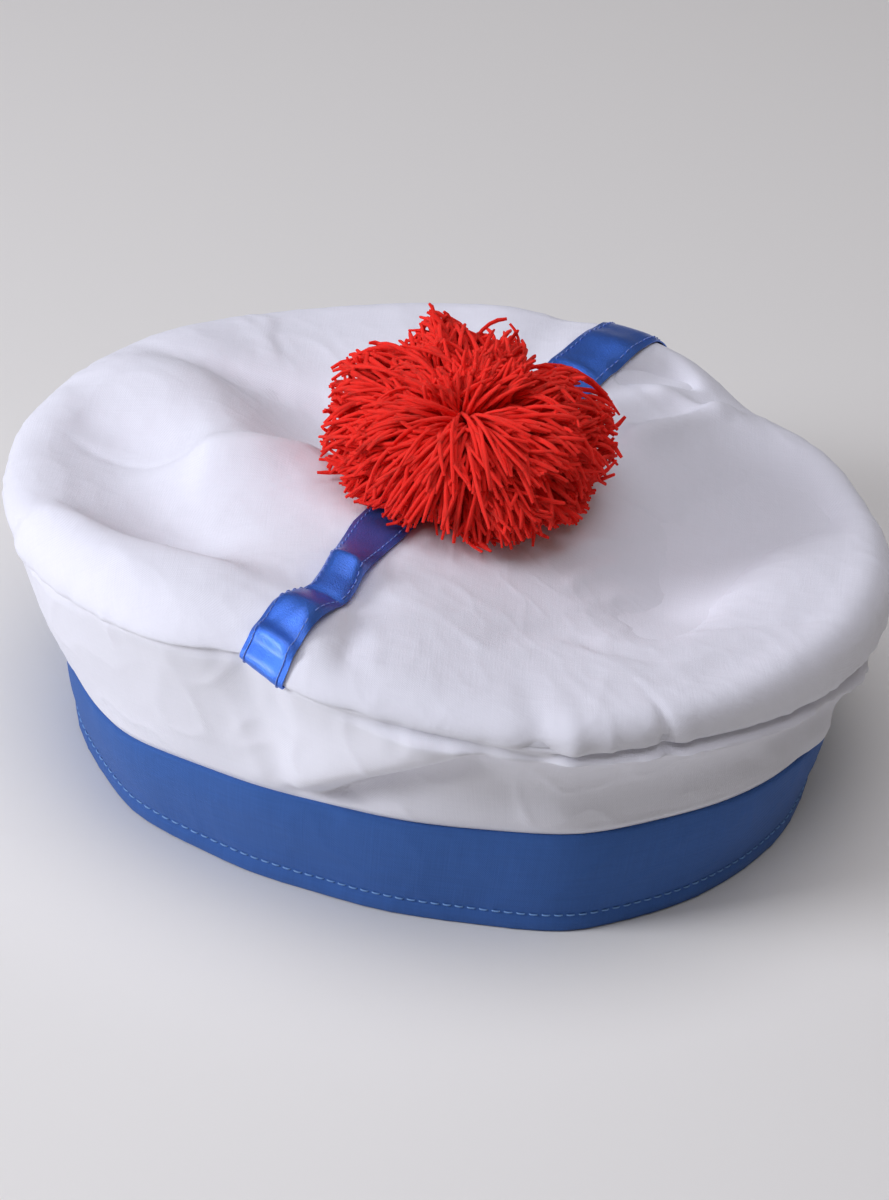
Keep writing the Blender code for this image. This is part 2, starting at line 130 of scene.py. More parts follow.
BAND = rows("angle radius lean height", [
    (-180, 92.5, 2.5, 24.5),
    (-150, 92.5, 5, 23),
    (-120, 90.5, 5, 27),
    (-90, 90.5, 3, 27.5),
    (-60, 93.5, 2.5, 28.5),
    (-30, 91.5, 3, 25.5),
    (0, 89.5, 3.5, 22.5),
    (30, 90.5, 3, 24.5),
    (60, 91.5, 2, 26),
    (90, 92, 2, 27),
    (120, 92, 2, 26.5),
    (150, 92, 3, 26),
])
BAND_CORNERS = rows("name angle spread radius", [
    ("left", -139, 9, 1.8),
    ("front", -71, 9, 2),
    ("flat between them", -106, 9, -1),
])

RIBBON_RUN = rows("place left width", [
    (-1, -3.3, 10.8),
    (-0.84, -4.2, 9),
    (-0.73, -2.7, 9),
    (-0.6, -0.7, 10.4),
    (-0.45, 1, 12.6),
    (-0.2, 2.5, 13),
    (0.5, 0, 13),
    (1, -2, 14.5),
])

BUNCH = "name azimuth elevation spread reach"
POMPOM_BUNCHES = rows(BUNCH, [
    ("top left spike", 129, 53, 11, 4.5),
    ("top right spike", 57, 55, 11, 4.5),
    ("upper right bunch", 21, 32, 18, 3.5),
    ("right bunch", 0, 0, 25, 1),
    ("front bunch, hanging", -60, -28, 14, 4.5),
    ("upper left bunch", 163, 26, 22, 2.5),
    ("left tuft", -168, -18, 10, 2),
])

# ---- Fine shape of the cloth

CLOTH = 0.9  # thickness of the top panel that is drawn
EDGE_ARC = 21.0  # length of the rolled edge, from the plateau to the seam
PLATEAU_LENGTH = 94.0  # for the weave, from the middle to that edge
TOP_DETAIL_FADE = 2.5  # its detail dies out this near to the seam
SIDE_DETAIL_FADE = (4.0, 3.0)  # and the side panel's this near to the band and to the seam
SIDE_PLEAT_FADE = (3.0, 1.5)
SEAM_TUCK_WIDTH = 1.3
WELT_BELOW = 2.0  # below the seam
WELT_WIDTH = 1.2
FILL_WIDTH = 5.5
ALLOWANCE = 1.6  # the side panel goes on up behind the top panel, out of sight
ALLOWANCE_RISE = 1.0
ALLOWANCE_CLOTH = 0.45
SIDE_CLOTH = 1.08
SIDE_RADIUS = 100.0  # for the weave, as is its height
SIDE_HEIGHT = 30.0
BAND_TUCK = 0.8  # the side panel comes out this far behind the band's face
BAND_TUCK_WIDTH = 1.8

BAND_RADIUS = 92.0  # for the weave and the number of stitches
BAND_ROUND = 0.8  # radius of its edges
BAND_FACE_DEPTH = 0.5  # the face's unevenness dies out this far in from it
BAND_GROOVE_DEPTH = 0.30  # along its topstitching
BAND_GROOVE_WIDTH = 0.8
BAND_FULLNESS = 0.35  # above the topstitching
BAND_ROLL = 0.25  # below it
BAND_ROLL_HEIGHT = 2.4
BAND_ROLL_WIDTH = 1.4

# How uneven each cloth is: soft waves, or soft cells with narrow ridges between them
UNEVEN = "cells height size seed"
TOP_UNEVEN = rows(UNEVEN, [(False, 0.4, 30, 3), (True, 0.2, 24, 7), (True, 0.1, 9, 17), (True, 0.1, 15, 27)])
SIDE_UNEVEN = rows(UNEVEN, [(False, 0.5, 24, 5), (True, 0.35, 15, 9)])
BAND_UNEVEN = rows(UNEVEN, [(False, 0.3, 22, 13), (True, 0.16, 11, 4)])
CELL_WARP = 0.35  # of a cell's size
CELL_WARP_SEEDS = (11, 23, 37)
CELL_NARROWING = 3.2  # of the ridges

# Creases of the top panel, through points in plan about the crown's centre, with a width on each side. A
# sharp one has been pressed flat on its left.
CREASE = "name points left right height sharp"
TOP_CREASES = rows(CREASE, [
    ("above the back-left pocket", ((-86, 62), (-78, 54), (-66, 50), (-52, 49), (-40, 47)), 6, 4, -0.7),
    ("lip of the back-left pocket", ((-66, -3), (-57, -2), (-48, 0), (-40, 4), (-28, 12)), 11, 10, 3, True),
    ("dent at the far left", ((-97, 36), (-92, 24), (-89, 8)), 8, 5, -0.9),
    ("fine, left", ((-100, 10), (-88, 4), (-78, 0), (-69, -1), (-61, 3)), 1.3, 2.2, -0.35),
    ("edge of the left ridge",
     ((-100, -34), (-91, -40.5), (-80, -47), (-68, -54.5), (-52, -62), (-38, -68)), 10, 13, 1.7, True),
    ("pucker, back left", ((-52, 84), (-52, 70), (-48, 56)), 1.8, 3, 0.5),
    ("second pucker, back left", ((-64, 86), (-58, 77), (-55, 66)), 2.6, 2.2, 0.3),
    ("cloth above the right dish", ((34, 34), (36, 14), (42, -6), (49, -22), (51, -40)), 12, 12, 1),
    ("edge of the right dish",
     ((43, -62), (50, -46), (56, -29), (61, -13), (69, 4), (79, 18), (88, 25), (100, 28)), 16, 7, -2.6, True),
    ("fine, in the right dish", ((38, 6), (50, 6), (61, 7)), 1.2, 2, -0.3),
    ("fine, right front", ((58, -44), (74, -40), (96, -32)), 2.2, 1.2, -0.35),
    ("crumple ridge", ((40, 30), (54, 48), (63, 59), (70, 66)), 2.6, 4, 2.2),
    ("crumple, second", ((44, 62), (53, 63), (61, 60), (69, 58)), 2.6, 3, 1.3),
    ("valley by the ribbon", ((36, 61), (47, 69), (61, 72)), 3.4, 1.6, -2.3),
    ("beside the pompom", ((33, 54), (39, 38), (38, 20)), 1.6, 3, -0.7),
    ("under the pompom, first", ((22, -30), (30, -18), (39, -9)), 1.9, 2.3, 0.5),
    ("under the pompom, second", ((26, -40), (36, -21), (47, -11)), 1.6, 2, 0.4),
    ("under the pompom, third", ((30, -46), (41, -29), (52, -18)), 1.4, 1.8, 0.22),
    ("edge of the front tongue",
     ((8, -76), (19, -66), (28, -61), (38, -65), (50, -66), (60, -57)), 6, 2.5, -0.55),
    ("dent right of the ribbon", ((-19, -70), (-19, -82), (-20, -95)), 2.4, 1.8, -0.45),
    ("beside that dent", ((-14, -74), (-13, -86), (-13, -97)), 1.8, 2.4, 0.25),
])
CREASE_STEPS = 14
CREASE_FADE = 0.22  # share of a crease's length over which it dies out at each end

# Pleats that the seam gathers, and how far they run up the top panel and down the side panel
PLEAT = "name angle spread height up down"
PLEATS = rows(PLEAT, [
    ("front fold", -76.5, 2.3, -1.7, 16, 3),
    ("ridge beside it", -72.3, 1.6, 0.9, 14, 3),
    ("thin ridge", -67.5, 0.6, 0.4, 11, 2),
    ("right front pleat", -60, 0.75, -1.7, 13, 3),
    ("pucker beside it", -57.2, 1.4, 1, 8, 4),
    ("dimple by the ribbon", -99, 2, -1, 4, 1),
    ("small dimple", -93.5, 1.4, -0.5, 4, 2),
    ("gather, back left", 124, 1, 0.8, 14, 5),
    ("gather, back", 76, 1.5, -0.9, 9, 4),
    ("gather, right", -30, 2, 0.5, 10, 5),
    ("gather, far right", -12, 1.5, -0.5, 12, 4),
    ("gather, back right", 33, 1.6, -0.7, 12, 6),
    ("gather, left", -150, 1.6, -0.4, 8, 6),
    ("gather, far left", -171, 1.4, 0.4, 9, 7),
    ("gather, rear left", 155, 1.5, -0.6, 10, 6),
    ("gather, rear", 104, 1.4, 0.6, 10, 6),
])
SMALL_PLEATS = 90
SMALL_PLEAT_HEIGHT = 0.30
SMALL_PLEAT_SHIFT = 0.4
SMALL_PLEAT_SPREAD = (0.5, 1.3)
SMALL_PLEAT_REACH = (3, 9)
SMALL_PLEAT_SEED = 5

# Fine creases of the side panel, by angle and share of its height as in SIDE_FOLDS
SIDE_CREASES = rows(CREASE, [
    ("edge of the roll",
     ((-111, 0), (-105.5, 0.13), (-96, 0.52), (-89, 0.73), (-81, 0.93)), 0.24, 0.040, 2.6),
    ("mouth of the tuck", ((-109.5, 0.03), (-104, 0.13), (-97, 0.36), (-91, 0.56)), 0.025, 0.06, -1.3),
    ("vertical, by the notch",
     ((-117.5, 0.66), (-116.3, 0.45), (-115.3, 0.23), (-113.5, 0.04)), 0.16, 0.07, 0.45),
    ("below the ribbon", ((-112, 0.8), (-108, 0.6), (-103, 0.5)), 0.08, 0.12, -0.25),
    ("slant, right", ((-45, 0.75), (-38, 0.45), (-33, 0.2)), 0.12, 0.1, 0.5),
])

# The seam: how far both panels draw in, how far the side panel's edge stands out below it, how much the cloth
# fills the fold there, and how much fuller than an arc the rolled edge above is
SEAM = rows("angle depth welt fill corner", [
    (-180, 0.12, 0, 0.4, 0),
    (-160, 0.1, 0, 0.4, 0),
    (-140, 0.1, 0, 0.5, 0),
    (-120, 0.1, 0, 0.7, 0),
    (-100, 0.1, 0, 1, 0),
    (-80, 0.3, 0.5, 0.4, 0.6),
    (-60, 1.1, 2, 0, 1.2),
    (-40, 1.1, 2, 0, 2.2),
    (-20, 0.9, 1.8, 0, 2.6),
    (0, 0.8, 1.4, 0, 2.6),
    (20, 0.75, 0.7, 0, 1.8),
    (40, 0.6, 0.5, 0.1, 0.8),
    (60, 0.5, 0.4, 0.3, 0.4),
    (80, 0.45, 0.3, 0.5, 0),
    (100, 0.45, 0.3, 0.6, 0),
    (120, 0.4, 0.2, 0.5, 0),
    (140, 0.3, 0.1, 0.4, 0),
    (160, 0.2, 0, 0.4, 0),
])

# ---- Ribbon, stitches and yarn

RIBBON_THICKNESS = 0.35
RIBBON_LIFT = 0.45
RIBBON_PUFF = 0.45  # its middle stands this far above its stitched edges
RIBBON_LENGTH = 230.0  # for the satin's grain, as is its width
RIBBON_WIDTH = 13.0
PUFF_POWER = 2.2
WAVE_DROP = 0.6  # how much lower the waves are at its edges
WAVE_POWER = 5
RIBBON_END_LIFT = 0.25  # where it goes into the seam
RIBBON_END_FADE = 0.02  # as a share of its half length
# Waves along the ribbon, by distance from the crown's middle (negative in front)
RIBBON_WAVES = rows("name along before after height sharp", [
    ("fold above the kink", -61, 12, 8, 4.8, True),
    ("kink", -76, 3.5, 2, -1.5, True),
    ("first roll at the rim", -86, 3.5, 6, 2.4),
    ("second roll at the rim", -94.5, 2, 2, 1.6),
    ("crease at the back", 66, 3, 2.5, 0.8, True),
    ("crest at the back", 84, 6, 5, 1),
])
STITCHED_LENGTH = 228.0
STITCHED_WIDTH = 12.0
RIBBON_EDGE_STITCH = 1.3  # in from the ribbon's edges

RIBBON_STITCH, BAND_STITCH = rows("length pitch radius", [(1.5, 2.3, 0.13), (1.9, 2.8, 0.19)])
BAND_STITCH_HEIGHT = 4.8
BAND_STITCH_SINK = 0.12
# A stitch's section: share of its half length, rise over the cloth and share of its radius
STITCH_END = [(0.5, 0.16, 1), (0.86, 0.05, 0.9), (1, -0.35, 0.6)]
STITCH_SHAPE = [(-along, rise, thick) for along, rise, thick in STITCH_END[::-1]] + [(0, 0.2, 1)] + STITCH_END

POMPOM_SEED = 23
POMPOM_CLUMPS = 190
CLUMP_STRANDS = 22
LOWEST_CLUMP = -0.66  # height of its direction on a unit sphere
CLUMP_LENGTH = (-0.6, 2.2)  # that its strands have more than the reach: mean and spread
CLUMP_UNEVEN = 0.07  # of the clumps' directions
STRAND_UNEVEN = 0.9  # of the strands' reach
STRAND_SWAY = 0.5
STRAND_BOW = (0.1, 1.7)
BOW_TURN = 1.3
YARN_RADIUS = 0.48
YARN_THICKNESS = (0.88, 1.1)  # as shares of that radius, and the cut end's
YARN_END = 0.7
YARN_STEPS = 10
YARN_SIDES = 8
STITCH_SIDES = 6
YARN_PIECES = 4
YARN_LOBES = 0.20  # depth of the groove between its two plies, as a share of its radius
YARN_TWIST = 1.3  # radians a millimetre
YARN_DROOP = 2.2  # of the tips of the level strands
CLUMP_SPREAD = 0.075  # of the tips, in radians
ROOT_SPREAD = 0.20
PARTING = (-92.0, 40.0)  # azimuth and elevation of the point that the strands part from
PARTING_OPENS = 30.0  # degrees that the tips there turn away from it
PARTING_UNEVEN = (0.6, 1.1)
PARTING_GATHERS = 8.0  # degrees that the roots turn towards it
PARTING_REACH = 95.0
TIE_RADIUS = 3.0
BEND_AT = 0.88  # where the strands bend over, as a share of their reach
YARN_CLEARANCE = 2.2  # over the cloth, and up to how much more
YARN_CLEARANCE_SPREAD = 1.6
POMPOM_CORE = 0.77  # of the reach
CORE_POINTS = 1500
CORE_UNEVEN = 0.08
CORE_CLEARANCE = 2.0
CORE_TONE = 0.2
PARTING_HOLLOW = 0.32  # how far the core draws in under the parting, as a share
PARTING_WIDTH = 34.0  # and how wide that is, in degrees
YARN_BUNCHES = rows(BUNCH, [
    ("gap above the left tuft", -174, -5, 6, -7),
    ("longer left tuft", -168, -15, 6, 2.5),
    ("notch between the spikes", 88, 62, 9, -2),
    ("notch right of the right spike", 34, 44, 9, -11),
    ("notch, nearer part", 12, 53, 9, -7),
    ("notch, behind", 48, 26, 10, -13),
    ("longer top left spike", 127, 55, 6, 2.5),
    ("longer top right spike", 62, 55, 6, 4),
    ("hand of strands over the right side", -38, 22, 13, 3.5),
    ("gap beyond the hand", -14, 14, 9, -5),
    ("left part of the front bunch", -79, -24, 8, 7),
    ("end of the front bunch", -40, -26, 13, -8),
    ("strands over the ribbon", -114, -20, 8, 8),
    ("gap right of those", -98, -10, 6, -6),
    ("gap right of those, lower", -98, -32, 8, -13),
    ("gap right of those, under", -98, -56, 10, -8),
])

SLUB_STRETCH = 0.07  # thick and thin places of a thread, to a millimetre

# ---- Fineness of the meshes

AROUND = 640
PLATEAU_ROWS = 76
EDGE_ROWS = 34
TOP_INSIDE_ROWS = 20
SIDE_ROWS = 60
SIDE_INSIDE_ROWS = 12
BAND_FACE_ROWS = 26
CORNER_ROWS = 4
RIBBON_ROWS = 260
RIBBON_COLUMNS = 13
STEP_SHARE = 0.001
STEP_DEGREES = 0.05
SHARP_ANGLE = 55.0

# ---- Camera and light

CAMERA_ELEVATION = 30.5
CAMERA_ROLL = 6.5  # the photo's right-hand side is lower
CAMERA_DISTANCE = 1000.0
CAMERA_LENS = 120.66
CAMERA_FILM = 36.0
CAMERA_AIM = (0.42, 27.24)  # right of and above the origin, across the view
CAMERA_CLIP = (0.05, 50)  # metres

LIGHTS = rows("name azimuth elevation distance size watts colour", [
    ("key", -155, 27, 1500, 500, 15.8, (0.875, 0.9, 1)),
    ("above", -150, 86, 1500, 1500, 13.4, (0.87, 0.875, 1)),
    ("warm, far side", 30, 40, 1500, 900, 0.6, (1, 0.86, 0.6)),
])
LIGHTS_AIM = Vector((0, 0, 50 * MM))
WORLD_COLOUR = (1.0, 0.94, 0.82)
WORLD_STRENGTH = 0.10
FLOOR_SIZE = 9000.0


# ---- Shapes


def smooth(x):
    """0 to 1 with level ends, as x goes from 0 to 1."""
    x = np.clip(x, 0.0, 1.0)
    return x * x * (3 - 2 * x)


def bell(x):
    """1 at 0, and dying out on both sides."""
    return np.exp(-x * x)


def between(before, first, second, after, t):
    """A smooth curve from first to second, as t goes from 0 to 1, that runs on towards their neighbours."""
    slope_first = (second - before) / 2
    slope_second = (after - first) / 2
    change = second - first
    cubic = slope_first + slope_second - 2 * change
    square = 3 * change - 2 * slope_first - slope_second
    return first + t * (slope_first + t * (square + t * cubic))


def around(table, column, degrees):
    """A column of a table whose rows are evenly spaced round the cap, as a smooth curve at these angles."""
    values = np.array([getattr(row, column) for row in table])
    place = (np.asarray(degrees) - table[0].angle) * len(values) / 360
    index = np.floor(place).astype(int)
    return between(*(values[(index + k) % len(values)] for k in (-1, 0, 1, 2)), place - index)


def turned(degrees, angle):
    """How far round these angles are from an angle, from -180 to 180."""
    return (degrees - angle + 180) % 360 - 180


def rim(column, degrees):
    """The rim's radius, shoulder, seam or tuck at these angles, with its local changes."""
    value = around(RIM, column, degrees)
    for nudge in RIM_NUDGES:
        value = value + getattr(nudge, column, 0.0) * bell(turned(degrees, nudge.angle) / nudge.spread)
    return value


def fold_height(fold, x, y):
    """How far a fold lifts the cloth: a bell across its line, fading past both ends."""
    length = math.hypot(fold.x1 - fold.x0, fold.y1 - fold.y0)
    along_x = (fold.x1 - fold.x0) / length
    along_y = (fold.y1 - fold.y0) / length
    along = (x - fold.x0) * along_x + (y - fold.y0) * along_y
    across = (y - fold.y0) * along_x - (x - fold.x0) * along_y
    past_end = np.maximum(0, np.maximum(-along, along - length))
    width = np.where(across > 0, fold.left, fold.right)
    tail = (fold.left + fold.right) / 2
    return fold.height * bell(across / width) * bell(past_end / tail)


def curve_through(points, steps):
    """A smooth open curve through these points, with this many steps between each two."""
    points = np.array(points, float)
    path = np.vstack([2 * points[0] - points[1], points, 2 * points[-1] - points[-2]])
    t = np.linspace(0, 1, steps, endpoint=False)[:, None]
    runs = [between(*path[k : k + 4], t) for k in range(len(points) - 1)]
    return np.vstack(runs + [points[-1:]])


def crease_height(crease, x, y):
    """How far a crease lifts the cloth: a bell across a smooth line, fading at both ends."""
    path = curve_through(crease.points, CREASE_STEPS)
    nearest = np.full(np.shape(x), 1e9)
    side = np.zeros(np.shape(x))
    place = np.zeros(np.shape(x))
    count = len(path) - 1
    for k in range(count):
        run = path[k + 1] - path[k]
        length = math.hypot(*run)
        from_x, from_y = x - path[k][0], y - path[k][1]
        t = np.clip((from_x * run[0] + from_y * run[1]) / length**2, 0, 1)
        away = np.hypot(from_x - t * run[0], from_y - t * run[1])
        closer = away < nearest
        nearest = np.where(closer, away, nearest)
        side = np.where(closer, from_y * run[0] - from_x * run[1], side)
        place = np.where(closer, (k + t) / count, place)
    ends = smooth(place / CREASE_FADE) * smooth((1 - place) / CREASE_FADE)
    left = np.exp(-nearest / crease.left) if crease.sharp else bell(nearest / crease.left)
    return crease.height * ends * np.where(side > 0, left, bell(nearest / crease.right))


def normalized(vectors):
    return vectors / np.linalg.norm(vectors, axis=-1, keepdims=True)


def stacked(*parts):
    return np.stack(np.broadcast_arrays(*parts), -1)


def polar(centre, radius, degrees, height):
    """Points round a vertical axis, as an array with x, y and z last."""
    angle = np.radians(degrees)
    return stacked(centre[0] + radius * np.cos(angle), centre[1] + radius * np.sin(angle), height)


def outward(degrees):
    """Level unit vectors at these angles."""
    return polar((0, 0), 1.0, degrees, 0.0)


def waviness(points, size, seed):
    """Smooth unevenness from -1 to 1 with features of this size, at an array of points."""
    flat = (points.reshape(-1, 3) / size + seed).tolist()
    return np.array([noise.noise(point) for point in flat]).reshape(points.shape[:-1])


def crumple(points, size, seed):
    """Soft cells with narrow ridges between them, from 0 to 1, as in handled cotton."""
    warp = np.stack([waviness(points, size, seed + k) for k in CELL_WARP_SEEDS], -1)
    cells = np.abs(waviness(points + CELL_WARP * size * warp, size, seed))
    return (1 - np.minimum(1, cells * CELL_NARROWING)) ** 2


def unevenness(table, points):
    """How far the waves and cells of a table of them lift the cloth."""
    return sum(row.height * (crumple if row.cells else waviness)(points, row.size, row.seed) for row in table)


def edge_turn(share, most=EDGE_TURN):
    """How far round the rolled edge a share of the top panel is, in radians, and at most so many degrees."""
    return np.radians(EDGE_TURN) * np.clip((share - PLATEAU_SHARE) / (1 - PLATEAU_SHARE), 0, most / EDGE_TURN)


def plan_of_top(share, degrees):
    """Radius, height before folds and turn over the edge, on the top panel."""
    widest = rim("radius", degrees)
    shoulder = rim("shoulder", degrees)
    inside = np.clip(share / PLATEAU_SHARE, 0, 1)
    turn = edge_turn(share)
    drop = (shoulder - rim("seam", degrees)) / (1 - math.cos(math.radians(EDGE_TURN)))
    under = smooth((turn - math.pi / 2) / (math.radians(EDGE_TURN) - math.pi / 2))
    radius = (widest - EDGE_ROUND) * inside + EDGE_ROUND * np.sin(turn) - rim("tuck", degrees) * under
    height = TOP_CENTRE_HEIGHT + (shoulder - TOP_CENTRE_HEIGHT) * smooth(inside)
    return radius, height - drop * (1 - np.cos(turn)), turn


def top_shape(share, degrees):
    """The top panel's main form: share is 0 in its middle and 1 at the seam."""
    radius, height, turn = plan_of_top(share, degrees)
    plan = polar((0, 0), radius, degrees, height)
    folded = sum(fold_height(fold, plan[..., 0], plan[..., 1]) for fold in TOP_FOLDS)
    height = height + folded * smooth(1 - turn / math.radians(EDGE_TURN))
    return polar(CROWN_CENTRE, radius, degrees, height)


def band_shape(share, degrees):
    """The headband's outer face: share is 0 at its top edge and 1 at its lower edge."""
    up = 1 - share
    radius = around(BAND, "radius", degrees) + around(BAND, "lean", degrees) * smooth(up)
    for corner in BAND_CORNERS:
        radius = radius + corner.radius * bell(turned(degrees, corner.angle) / corner.spread)
    return polar(BAND_CENTRE, radius, degrees, up * around(BAND, "height", degrees))


def side_fold_height(fold, degrees, up):
    """How far a fold lifts the side panel, at these angles and heights."""
    middle = (fold.x0 + fold.x1) / 2
    local = fold._replace(x0=(fold.x0 - middle) / SIDE_FOLD_SCALE, x1=(fold.x1 - middle) / SIDE_FOLD_SCALE)
    return fold_height(local, turned(degrees, middle) / SIDE_FOLD_SCALE, up)


def side_shape(share, degrees):
    """The side panel's main form: share is 0 at the seam and 1 at the band."""
    seam = top_shape(np.ones_like(degrees), degrees)
    low = band_shape(np.zeros_like(degrees), degrees)
    point = seam + (low - seam) * np.asarray(share)[..., None]
    up = 1 - share
    folded = sum(side_fold_height(fold, degrees, up) for fold in SIDE_FOLDS)
    ends = smooth(up / FADE_ABOVE_BAND) * smooth(share / FADE_BELOW_SEAM)
    return point + outward(degrees) * (folded * ends)[..., None]


def normals(surface, share, degrees):
    """Outward unit normals of a surface, from small steps along its two scales."""
    further, nearer = np.clip(share + STEP_SHARE, 0, 1), np.clip(share - STEP_SHARE, 0, 1)
    along = surface(further, degrees) - surface(nearer, degrees)
    sideways = surface(share, degrees + STEP_DEGREES) - surface(share, degrees - STEP_DEGREES)
    return normalized(np.cross(along, sideways))


def small_pleats():
    """Slight gathers all round the seam, unevenly spaced."""
    random = np.random.default_rng(SMALL_PLEAT_SEED)
    pleats = []
    for k in range(SMALL_PLEATS):
        angle = -180 + 360 * (k + random.uniform(-SMALL_PLEAT_SHIFT, SMALL_PLEAT_SHIFT)) / SMALL_PLEATS
        height = SMALL_PLEAT_HEIGHT * random.normal()
        spread = random.uniform(*SMALL_PLEAT_SPREAD)
        pleats.append(("gather", angle, spread, height, *random.uniform(*SMALL_PLEAT_REACH, 2)))
    return rows(PLEAT, pleats)


ALL_PLEATS = PLEATS + small_pleats()


def pleated(degrees, distance, column):
    """How far the pleats lift a panel at these angles, at this distance from the seam."""
    lift = np.zeros(np.shape(degrees))
    for pleat in ALL_PLEATS:
        reach = getattr(pleat, column)
        lift += pleat.height * bell(turned(degrees, pleat.angle) / pleat.spread) * bell(distance / reach)
    return lift


def seam_tuck(degrees, distance):
    """How far both panels draw in at this distance from the seam."""
    drawn = around(SEAM, "depth", degrees) * (1 - smooth(distance / SEAM_TUCK_WIDTH))
    return drawn - around(SEAM, "fill", degrees) * bell(distance / FILL_WIDTH)


def top_surface(share, degrees):
    """The top panel as it is drawn: its main form with creases, gathers and the crumple of the cloth."""
    point = top_shape(share, degrees)
    x, y = point[..., 0] - CROWN_CENTRE[0], point[..., 1] - CROWN_CENTRE[1]
    distance = EDGE_ARC * (1 - share) / (1 - PLATEAU_SHARE)
    lift = sum(crease_height(crease, x, y) for crease in TOP_CREASES)
    lift = lift + pleated(degrees, distance, "up")
    lift = (lift + unevenness(TOP_UNEVEN, point)) * smooth(distance / TOP_DETAIL_FADE)
    lift = lift + around(SEAM, "corner", degrees) * np.sin(2 * edge_turn(share, 90)) ** 2
    point = point + normals(top_shape, share, degrees) * lift[..., None]
    return point - outward(degrees) * seam_tuck(degrees, distance)[..., None]


def side_surface(share, degrees):
    """The side panel as it is drawn, with its seam, creases and gathers, and its tuck behind the band."""
    tall = around(RIM, "seam", degrees) - around(BAND, "height", degrees)
    below = share * tall
    above = tall - below
    point = side_shape(share, degrees)

    def fade(near_band, near_seam):
        return smooth(above / near_band) * smooth(below / near_seam)

    lift = unevenness(SIDE_UNEVEN, point)
    for crease in SIDE_CREASES:
        scaled = crease._replace(points=[(x / SIDE_FOLD_SCALE, y) for x, y in crease.points])
        lift = lift + crease_height(scaled, degrees / SIDE_FOLD_SCALE, 1 - share)
    lift = lift * fade(*SIDE_DETAIL_FADE) + pleated(degrees, below, "down") * fade(*SIDE_PLEAT_FADE)
    lip = around(SEAM, "welt", degrees) * bell((below - WELT_BELOW) / WELT_WIDTH)
    lift = lift + lip * smooth(above / SIDE_PLEAT_FADE[0])
    tucked = seam_tuck(degrees, below) + BAND_TUCK * (1 - smooth(above / BAND_TUCK_WIDTH))
    return point + outward(degrees) * (lift - tucked)[..., None]


# ---- Meshes


def placed(name, data):
    """A new object in the scene."""
    made = bpy.data.objects.new(name, data)
    bpy.context.scene.collection.objects.link(made)
    return made


def new_piece(name, points, faces, finish, loop_uv=None, tone=None):
    """A smooth-shaded piece of the cap, from points in millimetres."""
    data = bpy.data.meshes.new(name)
    data.from_pydata((np.asarray(points).reshape(-1, 3) * MM).tolist(), [], faces)
    if loop_uv is not None:
        data.uv_layers.new(name="cloth").uv.foreach_set("vector", np.asarray(loop_uv, np.float32).ravel())
    if tone is not None:
        values = data.attributes.new("tone", "FLOAT", "POINT").data
        values.foreach_set("value", np.asarray(tone, np.float32).ravel())
    data.shade_smooth()
    data.set_sharp_from_angle(angle=math.radians(SHARP_ANGLE))
    data.materials.append(finish)
    piece = placed(name, data)
    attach(piece, "root")
    return piece


def grid_faces(lines, columns, closed=False):
    """Quads between lines of points that close round the cap, and their places in a grid of UVs that has one
    more column. The lines join up too where closed."""
    line = np.arange(lines if closed else lines - 1)[:, None]
    column = np.arange(columns)[None, :]

    def quads(below, beside, wide):
        corners = [line * wide + column, below * wide + column, below * wide + beside, line * wide + beside]
        return stacked(*corners).reshape(-1, 4)

    faces = quads((line + 1) % lines, (column + 1) % columns, columns)
    return faces.tolist(), quads(line + 1, column + 1, columns + 1)


def ring_angles():
    return np.arange(AROUND) * 360 / AROUND - 180


def ring_grid(shares):
    """These shares, a row each, at every angle round the cap."""
    return np.meshgrid(shares, ring_angles(), indexing="ij")


def around_length(radius, down):
    """UVs of a wall, in millimetres: round the cap at this radius, and down."""
    round_cap = np.radians(np.arange(AROUND + 1) * 360 / AROUND) * radius
    return stacked(round_cap[None, :], np.asarray(down)[:, None]).reshape(-1, 2)


def add_top(finish):
    """The top panel: a closed shell of cloth, from its middle out over the rolled edge to the seam."""
    plateau = PLATEAU_SHARE * np.arange(1, PLATEAU_ROWS + 1) / PLATEAU_ROWS
    edge = PLATEAU_SHARE + (1 - PLATEAU_SHARE) * np.arange(1, EDGE_ROWS + 1) / EDGE_ROWS
    shares = np.concatenate([plateau, edge])
    outer = top_surface(*ring_grid(shares))
    inside = np.linspace(1, 0.01, TOP_INSIDE_ROWS)
    inward = -normals(top_shape, *ring_grid(inside))
    inward[0] = -outward(ring_angles())
    inner = top_shape(*ring_grid(inside)) + inward * CLOTH
    inner[0] += inward[0]
    count = len(shares) + TOP_INSIDE_ROWS
    points = np.concatenate([outer, inner]).reshape(-1, 3)
    faces, places = grid_faces(count, AROUND)

    # The weave runs straight across the panel, so its UVs are lengths over the cloth from the middle
    whole = PLATEAU_LENGTH + EDGE_ARC
    reach = np.interp(shares, [0, PLATEAU_SHARE, 1], [0, PLATEAU_LENGTH, whole])
    reach = np.concatenate([reach, inside * whole])
    turn = np.radians(np.arange(AROUND + 1) * 360 / AROUND - 180)
    uv = stacked(reach[:, None] * np.cos(turn), reach[:, None] * np.sin(turn)).reshape(-1, 2)
    loop_uv = [uv[places.ravel()]]

    middle = outer[0].mean(axis=0)
    last = (count - 1) * AROUND
    for base, pole, order in ((0, len(points), 1), (last, len(points) + 1, -1)):
        for k in range(AROUND):
            place = base + k + base // AROUND
            faces.append([pole, *(base + k, base + (k + 1) % AROUND)[::order]])
            loop_uv.append(np.vstack([[0, 0], uv[[place, place + 1]][::order]]))
    points = np.vstack([points, middle, middle - (0, 0, CLOTH)])
    return new_piece("top_cloth", points, faces, finish, np.vstack(loop_uv))


